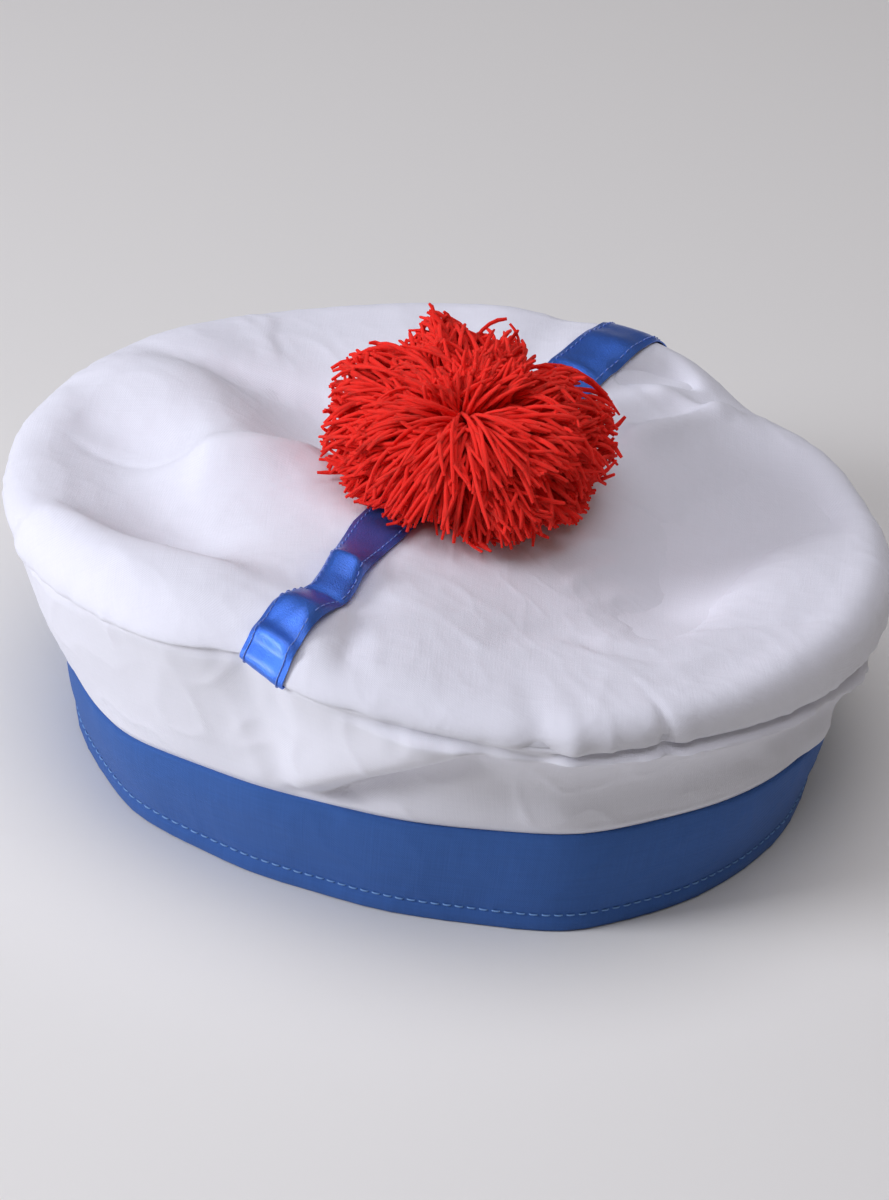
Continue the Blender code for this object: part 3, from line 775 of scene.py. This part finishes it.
def add_side(finish):
    """The side panel: a closed shell of cloth from the seam down to the band."""
    shares = np.linspace(0, 1, SIDE_ROWS)
    outer = side_surface(*ring_grid(shares))
    out = outward(ring_angles())
    allowance = outer[:1] - out * ALLOWANCE + (0, 0, ALLOWANCE_RISE)
    picked = np.linspace(SIDE_ROWS - 1, 0, SIDE_INSIDE_ROWS).astype(int)
    inner = outer[picked] - out * SIDE_CLOTH
    points = np.concatenate([allowance, outer, inner, allowance - out * ALLOWANCE_CLOTH])
    faces, places = grid_faces(len(points), AROUND, closed=True)
    down = np.concatenate([[-2], shares * SIDE_HEIGHT, shares[picked] * SIDE_HEIGHT, [-2], [-3]])
    uv = around_length(SIDE_RADIUS, down)
    return new_piece("side_cloth", points, faces, finish, uv[places.ravel()])


def band_section(tall):
    """The band's section, as offsets from its face and heights: from its rounded top edge down its face, and
    round to the inside."""
    arc = np.linspace(0, math.pi / 2, CORNER_ROWS + 1)
    turns = list(zip(BAND_ROUND * np.sin(arc), BAND_ROUND * np.cos(arc)))
    face = np.linspace(0, 1, BAND_FACE_ROWS)
    low, high, back = BAND_ROUND, tall - BAND_ROUND, BAND_ROUND - BAND_WALL
    section = [(sine - BAND_ROUND, high + cosine) for sine, cosine in turns]
    section += [(0.0, high - share * (high - low)) for share in face[1:-1]]
    section += [(cosine - BAND_ROUND, low - sine) for sine, cosine in turns]
    section += [(back - sine, low - cosine) for sine, cosine in turns]
    section += [(-BAND_WALL, low + share * (high - low)) for share in face[2:-2:4]]
    return section + [(back - cosine, high + sine) for sine, cosine in turns]


def add_band(finish):
    """The headband: cloth folded over a stiff core, with a groove along its topstitching."""
    degrees = ring_angles()
    tall = around(BAND, "height", degrees)
    rings = []
    for offset, height in band_section(tall):
        height = np.broadcast_to(height, AROUND)
        point = band_shape(1 - height / tall, degrees)
        above = height - BAND_STITCH_HEIGHT
        groove = -BAND_GROOVE_DEPTH * bell(above / BAND_GROOVE_WIDTH)
        full = BAND_FULLNESS * np.sin(np.pi * np.clip(above / (tall - BAND_STITCH_HEIGHT), 0, 1))
        rolled = BAND_ROLL * bell((height - BAND_ROLL_HEIGHT) / BAND_ROLL_WIDTH)
        lift = groove + full + rolled + unevenness(BAND_UNEVEN, point)
        lift = lift * smooth(1 + offset / BAND_FACE_DEPTH) + offset
        rings.append(point + outward(degrees) * lift[:, None])
    faces, places = grid_faces(len(rings), AROUND, closed=True)
    hops = [np.linalg.norm(a[0] - b[0]) for a, b in zip(rings[1:], rings[:-1])]
    uv = around_length(BAND_RADIUS, np.cumsum([0, *hops, 1.0]))
    return new_piece("band_cloth", np.array(rings), faces, finish, uv[places.ravel()])


def tubes(paths, radii, sides, lobes=0.0, twist=0.0):
    """Points and faces of many tubes. Paths are [tube, step, xyz] and radii [tube, step]. With lobes the
    section is that of two plies, turning by twist each millimetre."""
    count, steps = paths.shape[:2]
    tangent = normalized(np.gradient(paths, axis=1))
    whole = paths[:, -1] - paths[:, 0]
    upright = np.abs(whole[:, 2:]) > 0.8 * np.linalg.norm(whole, axis=-1, keepdims=True)
    helper = np.where(upright, (1.0, 0, 0), (0, 0, 1.0))
    side = normalized(np.cross(tangent, helper[:, None]))
    other = np.cross(tangent, side)
    hops = np.linalg.norm(np.diff(paths, axis=1), axis=-1)
    along = np.concatenate([np.zeros((count, 1)), np.cumsum(hops, axis=1)], axis=1)
    angle = 2 * np.pi * np.arange(sides) / sides
    wide = radii[..., None] * (1 + lobes * np.cos(2 * (angle - twist * along[..., None])))
    ring = side[:, :, None] * np.cos(angle)[:, None] + other[:, :, None] * np.sin(angle)[:, None]
    points = paths[:, :, None] + ring * wide[..., None]

    one = np.roll(np.array(grid_faces(steps, sides)[0])[:, ::-1], 1, axis=1)
    start = np.arange(count)[:, None, None] * steps * sides
    caps = start[:, 0] + np.arange(sides)
    faces = (start + one).reshape(-1, 4).tolist()
    faces += caps[:, ::-1].tolist() + (caps + (steps - 1) * sides).tolist()
    return points.reshape(-1, 3), faces


def add_stitches(name, centre, along, out, stitch, finish):
    """A row of short stitches: each is a thread that comes up, lies along the cloth and goes down again."""
    t, rise, thick = np.array(STITCH_SHAPE).T
    paths = centre[:, None] + along[:, None] * (t * stitch.length / 2)[:, None] + out[:, None] * rise[:, None]
    radii = np.broadcast_to(thick * stitch.radius, paths.shape[:2])
    return new_piece(name, *tubes(paths, radii, STITCH_SIDES), finish)


def add_band_stitches(finish):
    """The topstitching of the headband, a little above its lower edge."""
    count = int(2 * math.pi * BAND_RADIUS / BAND_STITCH.pitch)
    degrees = np.arange(count) * 360 / count
    share = 1 - BAND_STITCH_HEIGHT / around(BAND, "height", degrees)
    centre = band_shape(share, degrees)
    out = outward(degrees)
    centre = centre + out * (unevenness(BAND_UNEVEN, centre) - BAND_STITCH_SINK)[:, None]
    along = normalized(band_shape(share, degrees + 0.5) - band_shape(share, degrees - 0.5))
    return add_stitches("band_stitches", centre, along, out, BAND_STITCH, finish)


def place_on_top(plan):
    """Share and angle, on the flat of the top panel, of points in plan about the crown's centre."""
    x, y = plan[..., 0], plan[..., 1]
    degrees = np.degrees(np.arctan2(y, x))
    return PLATEAU_SHARE * np.hypot(x, y) / (rim("radius", degrees) - EDGE_ROUND), degrees


def ribbon_place(along, across):
    """Share and angle on the top panel, and length from the middle, of points of the ribbon. Along runs from
    -1 at its front end to 1 at the back, and across from -0.5 at its right-hand edge to 0.5 at the left."""
    ahead = unit(RIBBON_ANGLE, 0)[:2]
    left = np.array([-ahead[1], ahead[0]])
    end_angle = np.where(along > 0, RIBBON_ANGLE, RIBBON_ANGLE - 180)
    inside = np.clip(along / PLATEAU_SHARE, -1, 1)
    places, lefts, widths = np.array(RIBBON_RUN).T
    middle = np.interp(inside, places, lefts)
    width = np.interp(inside, places, widths)
    forward = inside * (rim("radius", end_angle) - EDGE_ROUND)
    plan = ahead * forward[..., None] + left * (across * width + middle)[..., None]
    share, degrees = place_on_top(plan)
    share = np.minimum(share, PLATEAU_SHARE)
    share = np.where(np.abs(inside) == 1, np.maximum(share, np.abs(along)), share)
    over = (np.abs(along) - PLATEAU_SHARE) / (1 - PLATEAU_SHARE) * EDGE_ARC
    return share, degrees, forward + np.sign(along) * np.maximum(over, 0)


def ribbon_surface(along, across):
    """The ribbon's lower face: it lies on the cloth, puffed between its stitched edges, with a few waves."""
    share, degrees, length = ribbon_place(along, across)
    aside = 2 * np.abs(across)
    lift = RIBBON_LIFT + RIBBON_PUFF * (1 - aside**PUFF_POWER)
    for wave in RIBBON_WAVES:
        past = length - wave.along
        past = np.abs(past) / np.where(past < 0, wave.before, wave.after)
        shape = np.exp(-past) if wave.sharp else bell(past)
        lift = lift + wave.height * shape * (1 - WAVE_DROP * aside**WAVE_POWER)
    lift = RIBBON_END_LIFT + (lift - RIBBON_END_LIFT) * smooth((RIBBON_END - np.abs(along)) / RIBBON_END_FADE)
    return top_surface(share, degrees) + normals(top_shape, share, degrees) * lift[..., None]


def add_ribbon(finish):
    """The satin ribbon: a thin closed strip over the top panel and down over the rim at both ends."""
    along = np.linspace(-RIBBON_END, RIBBON_END, RIBBON_ROWS)
    across = np.linspace(-0.5, 0.5, RIBBON_COLUMNS)
    under = ribbon_surface(*np.meshgrid(along, across, indexing="ij"))
    normal = normalized(np.cross(np.gradient(under, axis=0), np.gradient(under, axis=1)))
    over = under + normal * RIBBON_THICKNESS
    rings = np.concatenate([under, over[:, ::-1]], axis=1)
    count, columns = rings.shape[:2]
    ends = np.arange(columns)
    faces = [face[::-1] for face in grid_faces(count, columns)[0]]
    faces += [ends.tolist(), (ends + (count - 1) * columns)[::-1].tolist()]
    length = np.linspace(0, RIBBON_LENGTH, count)[:, None]
    width = np.concatenate([across, across[::-1]]) * RIBBON_WIDTH
    uv = stacked(width[None, :], length).reshape(-1, 2)
    return new_piece("ribbon_satin", rings, faces, finish, uv[np.concatenate(faces)])


def add_ribbon_stitches(finish):
    """The rows of stitches that hold the ribbon down, just inside its two edges."""
    count = int(STITCHED_LENGTH / RIBBON_STITCH.pitch)
    along = np.linspace(-RIBBON_END + RIBBON_END_FADE, RIBBON_END - RIBBON_END_FADE, count)
    step = 0.002
    pieces = []
    for name, side in (("ribbon_stitches_right", -1), ("ribbon_stitches_left", 1)):
        across = np.full(count, side * (0.5 - RIBBON_EDGE_STITCH / STITCHED_WIDTH))
        centre = ribbon_surface(along, across)
        lengthways = ribbon_surface(along + step, across) - ribbon_surface(along - step, across)
        crossways = ribbon_surface(along, across + step) - ribbon_surface(along, across - step)
        out = normalized(np.cross(lengthways, crossways))
        centre = centre + out * RIBBON_THICKNESS
        pieces.append(add_stitches(name, centre, normalized(lengthways), out, RIBBON_STITCH, finish))
    return pieces


def cloth_height(points):
    """The height of the top panel at these points' places in plan."""
    return top_shape(*place_on_top(points - (*CROWN_CENTRE, 0)))[..., 2]


def unit(azimuth, elevation):
    """The unit vector towards this azimuth and elevation."""
    azimuth, elevation = math.radians(azimuth), math.radians(elevation)
    flat = math.cos(elevation)
    return np.array([flat * math.cos(azimuth), flat * math.sin(azimuth), math.sin(elevation)])


def golden_directions(count):
    """Unit vectors spread evenly over a sphere, along the golden-angle spiral."""
    k = np.arange(count)
    turn = k * math.pi * (3 - math.sqrt(5))
    z = 1 - (2 * k + 1) / count
    ring = np.sqrt(1 - z * z)
    return np.stack([ring * np.cos(turn), ring * np.sin(turn), z], -1)


def parted(directions, spread):
    """Turns directions away from the parting, by spread degrees close to it and less further off."""
    parting = unit(*PARTING)
    cosine = np.clip(directions @ parting, -1, 1)[:, None]
    angle = np.degrees(np.arccos(cosine))
    aside = normalized(directions - cosine * parting)
    turned_to = np.radians(angle + spread * np.clip(1 - angle / PARTING_REACH, 0, 1))
    return np.cos(turned_to) * parting + np.sin(turned_to) * aside


def degrees_from(directions, azimuth, elevation):
    """The angles between unit vectors and a direction."""
    return np.degrees(np.arccos(np.clip(directions @ unit(azimuth, elevation), -1, 1)))


def pompom_reach(directions):
    """How far the pompom reaches from its middle: a flattened ball with bunches and gaps."""
    level = 1 - directions[:, 2] ** 2
    reach = 1 / np.sqrt(level / POMPOM_REACH**2 + directions[:, 2] ** 2 / POMPOM_RISE**2)
    for bunch in POMPOM_BUNCHES + YARN_BUNCHES:
        away = degrees_from(directions, bunch.azimuth, bunch.elevation)
        reach = reach + bunch.reach * bell(away / bunch.spread)
    return reach


def add_pompom(finish):
    """The pompom: plied yarn in loose clumps. Each strand rises from the tie in the middle, and bends over
    away from the parting to its cut end."""
    random = np.random.default_rng(POMPOM_SEED)
    clumps = golden_directions(POMPOM_CLUMPS)
    clumps = normalized(clumps + random.normal(0, CLUMP_UNEVEN, clumps.shape))
    clumps = clumps[clumps[:, 2] > LOWEST_CLUMP]
    owner = np.repeat(np.arange(len(clumps)), CLUMP_STRANDS)
    count = len(owner)
    clump_length = random.normal(*CLUMP_LENGTH, len(clumps))
    opens = PARTING_OPENS * random.uniform(*PARTING_UNEVEN, len(clumps))
    tip = parted(normalized(clumps[owner] + random.normal(0, CLUMP_SPREAD, (count, 3))), opens[owner, None])
    rise = normalized(clumps[owner] + random.normal(0, ROOT_SPREAD, (count, 3)))
    rise = parted(rise, -PARTING_GATHERS)
    reach = pompom_reach(tip) + clump_length[owner] + random.normal(0, STRAND_UNEVEN, count)

    t = np.linspace(0, 1, YARN_STEPS)[None, :, None]
    first = rise[:, None] * TIE_RADIUS
    bend = rise[:, None] * (BEND_AT * reach)[:, None, None]
    last = tip[:, None] * reach[:, None, None]
    paths = np.array(POMPOM_CENTRE) + first * (1 - t) ** 2 + bend * 2 * t * (1 - t) + last * t**2
    sway = random.normal(0, 1, (len(clumps), 3))
    aside = normalized(np.cross(tip, sway[owner] + random.normal(0, STRAND_SWAY, (count, 3))))
    bow = random.uniform(*STRAND_BOW, count)
    paths = paths + aside[:, None] * (bow[:, None, None] * np.sin(np.pi * t * BOW_TURN))
    level = np.sqrt(1 - np.clip(tip[:, 2:], -1, 1) ** 2)
    paths[..., 2] -= YARN_DROOP * level * t[..., 0] ** 3
    clearance = YARN_CLEARANCE + random.uniform(0, YARN_CLEARANCE_SPREAD, (count, 1))
    paths[..., 2] = np.maximum(paths[..., 2], cloth_height(paths) + clearance)

    radii = np.full((count, YARN_STEPS), YARN_RADIUS) * random.uniform(*YARN_THICKNESS, (count, 1))
    radii[:, -1] *= YARN_END
    pieces = []
    for number, part in enumerate(np.array_split(np.arange(count), YARN_PIECES), 1):
        points, faces = tubes(paths[part], radii[part], YARN_SIDES, YARN_LOBES, YARN_TWIST)
        tone = np.repeat(random.uniform(0, 1, len(part)), YARN_STEPS * YARN_SIDES)
        pieces.append(new_piece(f"pompom_yarn_{number}", points, faces, finish, tone=tone))
    return pieces


def add_pompom_core(finish):
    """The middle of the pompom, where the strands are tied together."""
    directions = golden_directions(CORE_POINTS)
    hull = bmesh.new()
    for direction in directions:
        hull.verts.new(direction)
    bmesh.ops.convex_hull(hull, input=hull.verts)
    hull.verts.index_update()
    faces = [[vertex.index for vertex in face.verts] for face in hull.faces]
    hull.free()
    uneven = POMPOM_CORE * (1 + CORE_UNEVEN * waviness(directions * 10, 2.2, 1.0))
    uneven = uneven * (1 - PARTING_HOLLOW * bell(degrees_from(directions, *PARTING) / PARTING_WIDTH))
    points = np.array(POMPOM_CENTRE) + directions * (pompom_reach(directions) * uneven)[:, None]
    points[:, 2] = np.maximum(points[:, 2], cloth_height(points) + CORE_CLEARANCE)
    return new_piece("pompom_core", points, faces, finish, tone=np.full(len(points), CORE_TONE))


# ---- Materials


class Finish:
    """A material, with short calls that add procedural nodes to it."""

    def __init__(self, name, colour, roughness, **settings):
        self.material = bpy.data.materials.new(name)
        self.material.use_nodes = True
        self.tree = self.material.node_tree
        self.shader = self.tree.nodes["Principled BSDF"]
        self.shader.inputs["Base Color"].default_value = (*colour, 1)
        self.shader.inputs["Roughness"].default_value = roughness
        for socket, value in settings.items():
            self.shader.inputs[socket.replace("_", " ")].default_value = value
        self.colour = colour
        self.height = None

    def node(self, kind, inputs, **settings):
        made = self.tree.nodes.new(kind)
        for key, value in settings.items():
            setattr(made, key, value)
        for key, value in inputs.items():
            if isinstance(value, bpy.types.NodeSocket):
                self.tree.links.new(value, made.inputs[key])
            else:
                made.inputs[key].default_value = value
        return made

    def math(self, operation, *values):
        return self.node("ShaderNodeMath", dict(enumerate(values)), operation=operation).outputs[0]

    def scaled(self, source, scale):
        return self.node("ShaderNodeMapping", {"Vector": source, "Scale": scale}).outputs[0]

    def cloth_uv(self):
        return self.node("ShaderNodeUVMap", {}, uv_map="cloth").outputs[0]

    def place(self):
        return self.node("ShaderNodeTexCoord", {}).outputs["Object"]

    def noise(self, source, scale, detail=2.0, roughness=0.5):
        inputs = {"Vector": source, "Scale": scale, "Detail": detail, "Roughness": roughness}
        return self.node("ShaderNodeTexNoise", inputs).outputs["Fac"]

    def raise_by(self, source, weight):
        """Adds this source, times a weight in millimetres, to the height for the bump."""
        part = self.math("MULTIPLY", source, weight)
        self.height = part if self.height is None else self.math("ADD", self.height, part)

    def bumped(self):
        """The material, with a bump made from the height."""
        bump = self.node("ShaderNodeBump", {"Height": self.height, "Strength": 1.0, "Distance": MM})
        self.tree.links.new(bump.outputs[0], self.shader.inputs["Normal"])
        return self.material

    def tint(self, source, low, high):
        """Shades the colour between two multiples of it, as the source goes from 0 to 1."""
        ends = [tuple(min(1.0, part * factor) for part in self.colour) + (1,) for factor in (low, high)]
        mix = self.node("ShaderNodeMix", {"Factor": source, 6: ends[0], 7: ends[1]}, data_type="RGBA")
        self.tree.links.new(mix.outputs[2], self.shader.inputs["Base Color"])


def threads(finish, pitch, weight, slub):
    """A plain weave: crossing threads at this pitch, with thick and thin places along them."""
    uv = finish.cloth_uv()
    ways = finish.node("ShaderNodeSeparateXYZ", {0: uv}).outputs
    waves = [finish.math("SINE", finish.math("MULTIPLY", ways[k], 2 * math.pi / pitch)) for k in (0, 1)]
    finish.raise_by(finish.math("MULTIPLY", *waves), weight)
    stretches = (1 / pitch, SLUB_STRETCH, 1), (SLUB_STRETCH, 1 / pitch, 1)
    both = finish.math("ADD", *[finish.noise(finish.scaled(uv, stretch), 1.0) for stretch in stretches])
    finish.raise_by(both, slub)
    return finish.math("MULTIPLY", both, 0.5)


def white_cotton():
    finish = Finish("white_cotton", (0.84, 0.835, 0.895), 0.88, Sheen_Weight=0.10, Specular_IOR_Level=0.2)
    slub = threads(finish, pitch=0.46, weight=0.028, slub=0.04)
    finish.raise_by(finish.noise(finish.place(), 260.0, 3.0), 0.06)
    finish.tint(slub, 0.965, 1.03)
    return finish.bumped()


def blue_cotton():
    finish = Finish("blue_cotton", (0.047, 0.130, 0.40), 0.85, Sheen_Weight=0.12, Specular_IOR_Level=0.1)
    slub = threads(finish, pitch=0.50, weight=0.032, slub=0.07)
    finish.tint(slub, 0.80, 1.20)
    return finish.bumped()


def blue_satin():
    gloss = {"Metallic": 0.72, "Anisotropic": 0.4, "Coat_Weight": 0.35, "Coat_Roughness": 0.27}
    finish = Finish("blue_satin", (0.058, 0.195, 0.78), 0.31, **gloss)
    uv = finish.cloth_uv()
    floats = finish.noise(finish.scaled(uv, (3.0, 0.6, 1)), 1.0, 3.0, 0.6)
    grain = finish.noise(finish.scaled(uv, (1.5, 2.4, 1)), 1.0, 4.0, 0.75)
    finish.raise_by(floats, 0.08)
    finish.raise_by(grain, 0.16)
    finish.tint(grain, 0.8, 1.25)
    return finish.bumped()


def red_yarn():
    soft = {"Subsurface_Weight": 0.5, "Subsurface_Radius": (1.0, 0.10, 0.08), "Subsurface_Scale": 0.0012}
    sheen = {"Sheen_Weight": 1.0, "Sheen_Tint": (1.0, 0.09, 0.07, 1)}
    finish = Finish("red_yarn", (1.0, 0.032, 0.021), 0.9, Specular_IOR_Level=0.15, **soft, **sheen)
    tone = finish.node("ShaderNodeAttribute", {}, attribute_name="tone").outputs["Fac"]
    fuzz = finish.noise(finish.place(), 1400.0, 3.0, 0.7)
    finish.raise_by(fuzz, 0.25)
    parts = finish.math("MULTIPLY", tone, 0.6), finish.math("MULTIPLY", fuzz, 0.4)
    finish.tint(finish.math("ADD", *parts), 0.92, 1.10)
    return finish.bumped()


def thread(name, colour):
    finish = Finish(name, colour, 0.6, Sheen_Weight=0.1)
    finish.raise_by(finish.noise(finish.place(), 2500.0, 2.0), 0.05)
    return finish.bumped()


def pale_floor():
    return Finish("pale_floor", (0.83, 0.81, 0.765), 0.9, Specular_IOR_Level=0.1).material


# ---- Stage


def add_camera():
    """The camera at the photo's angle, tilted down and then rolled."""
    tilted = Matrix.Rotation(math.radians(90 - CAMERA_ELEVATION), 4, "X")
    rolled = Matrix.Rotation(math.radians(CAMERA_ROLL), 4, "Z")
    place = tilted @ Vector((*CAMERA_AIM, CAMERA_DISTANCE))
    data = bpy.data.cameras.new("camera")
    data.lens = CAMERA_LENS
    data.sensor_fit = "VERTICAL"
    data.sensor_height = CAMERA_FILM
    data.clip_start, data.clip_end = CAMERA_CLIP
    camera = placed("camera", data)
    camera.matrix_world = Matrix.Translation(place * MM) @ tilted @ rolled
    bpy.context.scene.camera = camera


def add_lights():
    """The soft lamps, which aim at the middle of the crown, and the pale surroundings."""
    for light in LIGHTS:
        data = bpy.data.lights.new(light.name, "AREA")
        data.energy = light.watts
        data.size = light.size * MM
        data.color = light.colour
        lamp = placed(light.name, data)
        lamp.location = unit(light.azimuth, light.elevation) * light.distance * MM
        lamp.rotation_euler = (LIGHTS_AIM - lamp.location).to_track_quat("-Z", "Y").to_euler()
    world = bpy.data.worlds.new("studio")
    world.use_nodes = True
    background = world.node_tree.nodes["Background"]
    background.inputs["Color"].default_value = (*WORLD_COLOUR, 1)
    background.inputs["Strength"].default_value = WORLD_STRENGTH
    bpy.context.scene.world = world
    bpy.context.scene.view_settings.view_transform = "Standard"


def add_floor():
    half = FLOOR_SIZE / 2 * MM
    corners = [(-half, -half, 0), (half, -half, 0), (half, half, 0), (-half, half, 0)]
    data = bpy.data.meshes.new("floor")
    data.from_pydata(corners, [], [(0, 1, 2, 3)])
    data.materials.append(pale_floor())
    placed("floor", data)


def dress():
    """Every piece of the cap. The solids that the top, side, band, ribbon and pompom stand in for are hidden.
    """
    white, blue, satin, red = white_cotton(), blue_cotton(), blue_satin(), red_yarn()
    top, side, band, ribbon = add_top(white), add_side(white), add_band(blue), add_ribbon(satin)
    yarn, core = add_pompom(red), add_pompom_core(red)
    band_stitches = add_band_stitches(thread("band_thread", (0.16, 0.33, 0.64)))
    ribbon_stitches = add_ribbon_stitches(thread("ribbon_thread", (0.17, 0.27, 0.66)))
    for piece, node, slot in (
        (top, "crown_top", "white_cotton"),
        (side, "crown_side", "white_cotton"),
        (band, "headband", "blue_cotton"),
        (ribbon, "ribbon", "blue_satin"),
        (yarn[0], "pompom", "red_yarn"),
    ):
        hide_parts(node)


add_camera()
add_lights()
add_floor()
dress()
